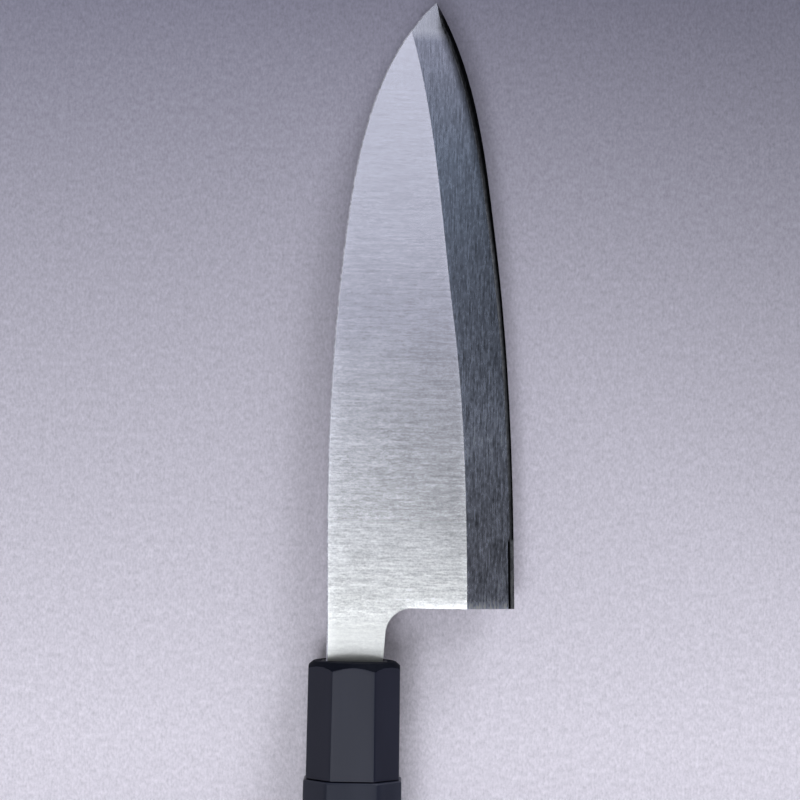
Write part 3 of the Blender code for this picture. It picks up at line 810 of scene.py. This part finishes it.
def blade_section(along, spine, bevel, edge):
    """Points (across, up) round the blade at one place, and the material slot of each span."""
    spine_at = across_at(spine, along)
    edge_at = across_at(edge, along)
    bevel_at = across_at(bevel, along)
    width = edge_at - spine_at
    roll, roll_top = roll_size(along, width)
    roll_at = edge_at - roll
    full = thickness_at(along)

    def upper(across):
        """Height of the flat or, past the bevel's line, of the slightly crowned bevel."""
        share = (roll_at - across) / (roll_at - bevel_at)
        crown = 4 * BEVEL_CROWN * max(0.0, share * (1 - share))
        past_line = min(1.0, max(0.0, (across - bevel_at) / BEVEL_SHOULDER_WIDTH))
        shoulder = 4 * BEVEL_SHOULDER * past_line * (1 - past_line) ** 2
        plain = roll_top + (full - roll_top) * min(1.0, share) + crown + shoulder
        return plain + flat_wear(across, along, spine_at, bevel_at)

    chamfer = min(SPINE_CHAMFER, width / 4, upper(spine_at) / 4)
    flat_end = max(bevel_at, spine_at + chamfer)
    depth, rim = hollow_at(along, width)
    rim_spine = spine_at + max(rim, chamfer)
    rim_edge = edge_at - rim
    points, slots = [], []

    def span(slot, steps, place):
        """Adds the points of one span, place(share) for share from 0 to just before 1."""
        for step in range(steps):
            points.append(place(step / steps))
            slots.append(slot)

    def spine_round(share):
        """The eased upper corner of the spine."""
        angle = math.radians(90) * share
        drop = chamfer * (1 - math.sin(angle))
        return (spine_at + chamfer * (1 - math.cos(angle)), upper(spine_at + chamfer) - drop)

    def flat_place(share):
        """Closer together beside the spine and the bevel's line, where the flat is rounded."""
        crowded = (1 - math.cos(math.pi * share)) / 2
        across = spine_at + chamfer + crowded * (flat_end - spine_at - chamfer)
        return (across, upper(across))

    def bevel_place(share):
        across = flat_end + share * (roll_at - flat_end)
        return (across, upper(across))

    def roll_place(share):
        """The bevel rolls over into the edge, ever steeper."""
        mean_slope = (roll_top - EDGE_LAND) / roll
        start_slope = min((full - roll_top) / (roll_at - bevel_at), mean_slope)
        steepening = (share - (1 - (1 - share) ** 3) / 3) * 3 / 2
        fall = start_slope * share + (mean_slope - start_slope) * steepening
        return (roll_at + share * roll, roll_top - fall * roll)

    def hollow_place(share):
        height = depth * 4 * share * (1 - share)
        return (rim_edge + share * (rim_spine - rim_edge), height)

    span(SIDES, CHAMFER_STRIPS, spine_round)
    span(FLAT, FLAT_STRIPS, flat_place)
    span(BEVEL, BEVEL_STRIPS, bevel_place)
    span(ROLL, EDGE_ROLL_STRIPS, roll_place)
    span(ROLL, 1, straight((edge_at, EDGE_LAND), (edge_at, 0.0)))
    span(BACK, 1, straight((edge_at, 0.0), (rim_edge, 0.0)))
    span(BACK, HOLLOW_STRIPS, hollow_place)
    span(BACK, 1, straight((rim_spine, 0.0), (spine_at + chamfer, 0.0)))
    span(SIDES, 1, straight((spine_at + chamfer, 0.0), (spine_at, chamfer)))
    span(SIDES, 1, straight((spine_at, chamfer), points[0]))
    return points, slots


def blade_places():
    """Where the blade's sections stand: past the tang's end, at the collar, then on to the tip."""
    places = [-TANG_LENGTH - CUT_PAST, 0.0]
    for step in range(1, BLADE_SECTIONS + 1):
        share = 1 - (1 - step / BLADE_SECTIONS) ** SECTION_CROWDING
        places.append(share * TIP.y)
    for step in range(HEEL_SECTIONS + 1):
        places.append(HEEL.y + step / HEEL_SECTIONS * HEEL_FALL_WIDTH)
    return sorted(places)


def choil_points():
    """The round corner between the neck's lower line and the heel, as (across, along)."""
    start = Vector((NECK_DEPTH / 2, 0.0))
    neck_way = Vector((NECK_FLARE, HEEL.y)).normalized()
    corner = start + neck_way * (HEEL.y / neck_way.y)
    turn = math.atan2(neck_way.y, neck_way.x)
    reach = CHOIL_RADIUS / math.tan((math.pi - turn) / 2)
    arc_start = corner - reach * neck_way
    centre = arc_start + CHOIL_RADIUS * Vector((neck_way.y, -neck_way.x))
    points = []
    for step in range(CHOIL_STEPS + 1):
        angle = math.pi - (math.pi / 2 - turn) - step / CHOIL_STEPS * turn
        points.append(centre + CHOIL_RADIUS * Vector((math.cos(angle), math.sin(angle))))
    return points


def heel_and_tang_outline():
    """Everything that stays of the blade's slab, as an outline well outside the spine and edge."""
    half_neck = NECK_DEPTH / 2
    return [
        (-half_neck - CUT_PAST, TIP.y + CUT_PAST),
        (EDGE_REACH + CUT_PAST, TIP.y + CUT_PAST),
        (EDGE_REACH + CUT_PAST, HEEL.y),
        *[tuple(point) for point in reversed(choil_points())],
        (half_neck, 0.0),
        (half_neck, -NECK_SEAT),
        (TANG_DEPTH / 2, -NECK_SEAT),
        (TANG_END_DEPTH / 2, -TANG_LENGTH),
        (-TANG_END_DEPTH / 2, -TANG_LENGTH),
        (-TANG_DEPTH / 2, -NECK_SEAT),
        (-half_neck - CUT_PAST, -NECK_SEAT),
    ]


def outline_prism(name, outline, low, high):
    """A flat outline given height, whose faces all have the slot of the blade's sides."""
    bm = bmesh.new()
    face = bm.faces.new([bm.verts.new((across, along, low)) for across, along in outline])
    made = bmesh.ops.extrude_face_region(bm, geom=[face])
    raised = [item for item in made["geom"] if isinstance(item, bmesh.types.BMVert)]
    bmesh.ops.translate(bm, verts=raised, vec=(0.0, 0.0, high - low))
    for face in bm.faces:
        face.material_index = SIDES
    return mesh_from_bmesh(name, bm)


def ease_neck_edges(mesh):
    """Rounds the edges of the neck, the choil and the heel, as far as the bevel's line."""
    bm = bmesh.new()
    bm.from_mesh(mesh)
    bevel_start = EDGE_REACH - BEVEL_WIDTH + SPINE_CHAMFER
    chosen = []
    for edge in bm.edges:
        upright = [abs(face.normal.z) < 0.5 for face in edge.link_faces]
        inside = all(
            0 < vert.co.x < bevel_start and -NECK_SEAT - GAP < vert.co.y < HEEL.y + GAP
            for vert in edge.verts
        )
        if inside and sorted(upright) == [False, True]:
            chosen.append(edge)
    bmesh.ops.bevel(
        bm,
        geom=chosen,
        offset=SPINE_CHAMFER,
        offset_type="OFFSET",
        segments=CHAMFER_STRIPS,
        profile=0.5,
        affect="EDGES",
        clamp_overlap=True,
        material=SIDES,
    )
    bmesh.ops.translate(bm, verts=bm.verts, vec=(AXIS.x, AXIS.y, AXIS.z + BACK_UP))
    return mesh_from_bmesh(mesh.name, bm)


def make_blade():
    """Blade, neck and tang from one bar: a lofted slab, cut to its outline."""
    lines = (spine_line(), bevel_line(), edge_line())
    rings = []
    for along in blade_places():
        points, slots = blade_section(along, *lines)
        rings.append([(across, along, up) for across, up in points])
    materials = (flat_steel(), bevel_steel(), roll_steel(), side_steel(), back_steel())
    blade = add_object("ground_blade", loft("ground_blade", rings, slots), materials)
    outline = heel_and_tang_outline()
    prism = outline_prism("blade_outline", outline, -CUT_PAST, BLADE_THICKNESS + CUT_PAST)
    shape_with(blade, add_object("blade_outline", prism, materials), "INTERSECT")
    worn = ease_neck_edges(blade.data)
    for material in materials:
        worn.materials.append(material)
    blade.data = worn
    shade(worn, BLADE_SHARP)
    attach(blade, "root")
    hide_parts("blade")


def octagon(width, thickness, corner_cut):
    """Corners of an octagon across the handle, whose corners are cut at 45 degrees."""
    half_width = width / 2
    half_height = thickness / 2
    quarter = [(half_width, half_height - corner_cut), (half_width - corner_cut, half_height)]
    right = [(x, -z) for x, z in reversed(quarter)] + quarter
    left = [(-x, z) for x, z in reversed(right)]
    return [Vector(corner) for corner in right + left]


def rounded_outline(corners, radius):
    """The outline through the corners, each rounded, with even points along each flat."""
    outline = []
    for index, corner in enumerate(corners):
        to_last = (corners[index - 1] - corner).normalized()
        to_next = (corners[(index + 1) % len(corners)] - corner).normalized()
        half = to_last.angle(to_next) / 2
        reach = radius / math.tan(half)
        centre = corner + (to_last + to_next).normalized() * (radius / math.sin(half))
        start = corner + reach * to_last - centre
        sweep = math.pi - 2 * half
        for step in range(CORNER_STEPS + 1):
            angle = step / CORNER_STEPS * sweep
            turned = Matrix.Rotation(angle, 2) @ start
            outline.append(centre + turned)
        following = corners[(index + 1) % len(corners)]
        flat_start = outline[-1]
        flat_end = following - reach * to_next
        for step in range(1, FLAT_STEPS):
            outline.append(flat_start.lerp(flat_end, step / FLAT_STEPS))
    return outline


def rim_profile():
    """The turned rim as (depth, how far inside the middle of a flat), from the front backwards."""
    slope = math.radians(RIM_SLOPE)
    profile = []
    for step in range(CORNER_STEPS + 1):
        lean = math.radians(90) + (slope - math.radians(90)) * step / CORNER_STEPS
        depth = RIM_ROUND * (1 - math.sin(lean))
        rise = RIM_ROUND * math.cos(lean)
        profile.append((depth, RIM_RISE - rise))
    depth, inside = profile[-1]
    cone_steps = RIM_STEPS - CORNER_STEPS
    for step in range(1, cone_steps + 1):
        climb = (inside + RIM_REACH) * step / cone_steps
        profile.append((depth + climb / math.tan(slope), inside - climb))
    return profile


def rimmed_ring(outline, width, thickness, inside, along):
    """The handle's outline at one place, kept inside a turned, flattened circle."""
    squash = thickness / width
    radius = width / 2 - inside
    ring = []
    for point in outline:
        reach = point.length
        way = point / reach
        turned = radius / math.hypot(way.x, way.y / squash)
        length = soft_least(reach, turned, RIM_BLEND)
        ring.append((AXIS.x + way.x * length, AXIS.y + along, AXIS.z + way.y * length))
    return ring


def turn_end(mesh, forwards):
    """Gives the turned end that looks forwards (1) or backwards (-1) its own slot."""
    for face in mesh.polygons:
        if forwards * face.normal.y > TURNED_FACING:
            face.material_index = TURNED


def make_collar():
    """The octagonal collar with its turned rim, its mouth for the neck and its bore."""
    front, rear = [
        rounded_outline(octagon(width, COLLAR_THICKNESS, COLLAR_CORNER_CUT), LONG_EDGE_ROUND)
        for width in (COLLAR_FRONT_WIDTH, COLLAR_REAR_WIDTH)
    ]
    rings = []
    for depth, inside in rim_profile():
        share = depth / COLLAR_LENGTH
        outline = [start.lerp(end, share) for start, end in zip(front, rear)]
        rings.append(rimmed_ring(outline, COLLAR_FRONT_WIDTH, COLLAR_THICKNESS, inside, -depth))
    rings.append([(AXIS.x + p.x, AXIS.y - COLLAR_LENGTH, AXIS.z + p.y) for p in rear])
    resin = handle_resin("collar_resin", (0.004, 0.006, 0.017), (0.007, 0.009, 0.022))
    materials = (resin, turned_resin_painted_dark("turned_rim_painted_dark"))
    collar = add_object("turned_collar", loft("turned_collar", rings), materials)
    turn_end(collar.data, 1)
    wall = 2 * (GAP + SEAL_WALL + GAP)
    mouth_floor = -(NECK_SEAT + GAP)
    mouth = block("mouth", CUT_PAST, mouth_floor, NECK_DEPTH + wall, BLADE_THICKNESS + wall)
    shape_with(collar, add_object("mouth", mouth, (resin,)), "DIFFERENCE")
    wall = 2 * (GAP + ADHESIVE_WALL + GAP)
    passage_end = -COLLAR_WALL - CUT_PAST
    passage = block("passage", CUT_PAST, passage_end, TANG_DEPTH + wall, BLADE_THICKNESS + wall)
    shape_with(collar, add_object("passage", passage, (resin,)), "DIFFERENCE")
    bore = round_bar("bore", -COLLAR_WALL, -COLLAR_LENGTH - CUT_PAST, DOWEL_DIAMETER / 2 + GAP)
    shape_with(collar, add_object("bore", bore, (resin,)), "DIFFERENCE")
    shade(collar.data, HANDLE_SHARP)
    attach(collar, "root")
    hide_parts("collar")


def make_handle_body():
    """The octagonal handle behind the collar, a little proud of it, with a turned butt."""
    def outline_at(share, inset):
        width = BODY_FRONT_WIDTH + share * (BODY_REAR_WIDTH - BODY_FRONT_WIDTH)
        cut = BODY_CORNER_CUT - (2 - math.sqrt(2)) * inset
        corners = octagon(width - 2 * inset, BODY_THICKNESS - 2 * inset, cut)
        return rounded_outline(corners, LONG_EDGE_ROUND)

    rings = []
    for step in range(BODY_CHAMFER_STEPS + 1):
        lean = math.radians(90) * step / BODY_CHAMFER_STEPS
        inset = BODY_FRONT_CHAMFER * (1 - math.sin(lean))
        depth = BODY_FRONT_CHAMFER * (1 - math.cos(lean))
        along = AXIS.y + BODY_FRONT - depth
        outline = outline_at(depth / BODY_LENGTH, inset)
        rings.append([(AXIS.x + p.x, along, AXIS.z + p.y) for p in outline])
    for depth, inside in reversed(rim_profile()):
        share = 1 - depth / BODY_LENGTH
        outline = outline_at(share, 0.0)
        along = BODY_FRONT - BODY_LENGTH + depth
        rings.append(rimmed_ring(outline, BODY_REAR_WIDTH, BODY_THICKNESS, inside, along))
    resin = handle_resin("body_resin", (0.008, 0.011, 0.023), (0.016, 0.019, 0.033))
    materials = (resin, turned_resin_painted_dark("turned_butt_painted_dark"))
    body = add_object("octagonal_body", loft("octagonal_body", rings), materials)
    turn_end(body.data, -1)
    bore_end = -(COLLAR_WALL + GAP) - DOWEL_LENGTH - GAP
    bore = round_bar("bore", BODY_FRONT + CUT_PAST, bore_end, DOWEL_DIAMETER / 2 + GAP)
    shape_with(body, add_object("bore", bore, (resin,)), "DIFFERENCE")
    shade(body.data, HANDLE_SHARP)
    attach(body, "root")
    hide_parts("handle_body")


def make_mouth_filler():
    """The filler round the neck, smoothed off just inside the collar's front."""
    wall = 2 * (GAP + SEAL_WALL + GAP - FILLER_FIT)
    front, rear = -FILLER_RECESS, -FILLER_LENGTH
    bar = block("mouth_filler", front, rear, NECK_DEPTH + wall, BLADE_THICKNESS + wall)
    filler = add_object("mouth_filler", bar, (sealant(),))
    fit = 2 * FILLER_FIT
    neck = block("neck", CUT_PAST, rear - CUT_PAST, NECK_DEPTH + fit, BLADE_THICKNESS + fit)
    shape_with(filler, add_object("neck", neck), "DIFFERENCE")
    ease_corners = filler.modifiers.new("eased_corners", "BEVEL")
    ease_corners.width = FILLER_FIT
    ease_corners.segments = 2
    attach(filler, "root")
    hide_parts("mouth_seal")


def dress_inner_pieces():
    """The dowel and the adhesive keep their solids and get their materials."""
    for name, look in (("dowel", wood), ("tang_adhesive", adhesive)):
        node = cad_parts[name]
        material = look()
        if not node.material_slots:
            node.data.materials.append(material)
        for slot in node.material_slots:
            slot.material = material


def make_floor():
    """A wide sheet of paper, a hair below the knife."""
    bm = bmesh.new()
    bmesh.ops.create_grid(bm, x_segments=1, y_segments=1, size=FLOOR_REACH)
    floor = add_object("floor", mesh_from_bmesh("floor", bm), (floor_paper(),))
    floor.location.z = -FLOOR_DROP


def make_camera():
    """A long lens that looks straight down on the blade."""
    data = bpy.data.cameras.new("camera")
    data.lens = LENS
    data.clip_start = 0.01
    camera = bpy.data.objects.new("camera", data)
    bpy.context.scene.collection.objects.link(camera)
    camera.location = (AXIS.x + CAMERA_ACROSS, AXIS.y + CAMERA_ALONG, CAMERA_HEIGHT)
    camera.rotation_euler.z = math.radians(CAMERA_TURN)
    bpy.context.scene.camera = camera


def add_lamp(name, tilt, turn, width, brightness):
    """A round soft light, far away, so that it is as bright all over the floor.

    It stands tilt degrees off the upright, turn degrees round from +X to +Y, and is width degrees
    wide. Its brightness is what a mirror would show of it, where 1 is white.
    """
    data = bpy.data.lights.new(name, "SUN")
    data.angle = math.radians(width)
    data.energy = brightness * math.pi * math.sin(math.radians(width / 2)) ** 2
    data.color = LAMP_COLOUR
    lamp = bpy.data.objects.new(name, data)
    bpy.context.scene.collection.objects.link(lamp)
    around = direction(90 - turn)
    towards = Vector((around.x, around.y, 1 / math.tan(math.radians(tilt))))
    lamp.rotation_euler = towards.to_track_quat("Z", "Y").to_euler()


def make_lamps():
    """High lamps that the steel mirrors, lower ones that shade the floor beside the knife."""
    for lamp in LAMPS:
        add_lamp(*lamp)


def make_room():
    """A dim pale room, a little brighter on the spine's side."""
    world = bpy.data.worlds.new("room")
    world.use_nodes = True
    tree = world.node_tree
    background = tree.nodes["Background"]
    background.inputs["Color"].default_value = (*ROOM_COLOUR, 1.0)
    way = tree.nodes.new("ShaderNodeTexCoord")
    parts = tree.nodes.new("ShaderNodeSeparateXYZ")
    level = tree.nodes.new("ShaderNodeMapRange")
    level.interpolation_type = "SMOOTHSTEP"
    limits = ("From Min", "From Max", "To Min", "To Max")
    for name, value in zip(limits, ROOM_RANGE + ROOM_LEVELS):
        level.inputs[name].default_value = value
    tree.links.new(way.outputs["Generated"], parts.inputs["Vector"])
    tree.links.new(parts.outputs["X"], level.inputs["Value"])
    tree.links.new(level.outputs["Result"], background.inputs["Strength"])
    bpy.context.scene.world = world


make_camera()
make_lamps()
make_room()
make_floor()
make_blade()
make_collar()
make_handle_body()
make_mouth_filler()
dress_inner_pieces()

bpy.context.scene.view_settings.view_transform = "Standard"
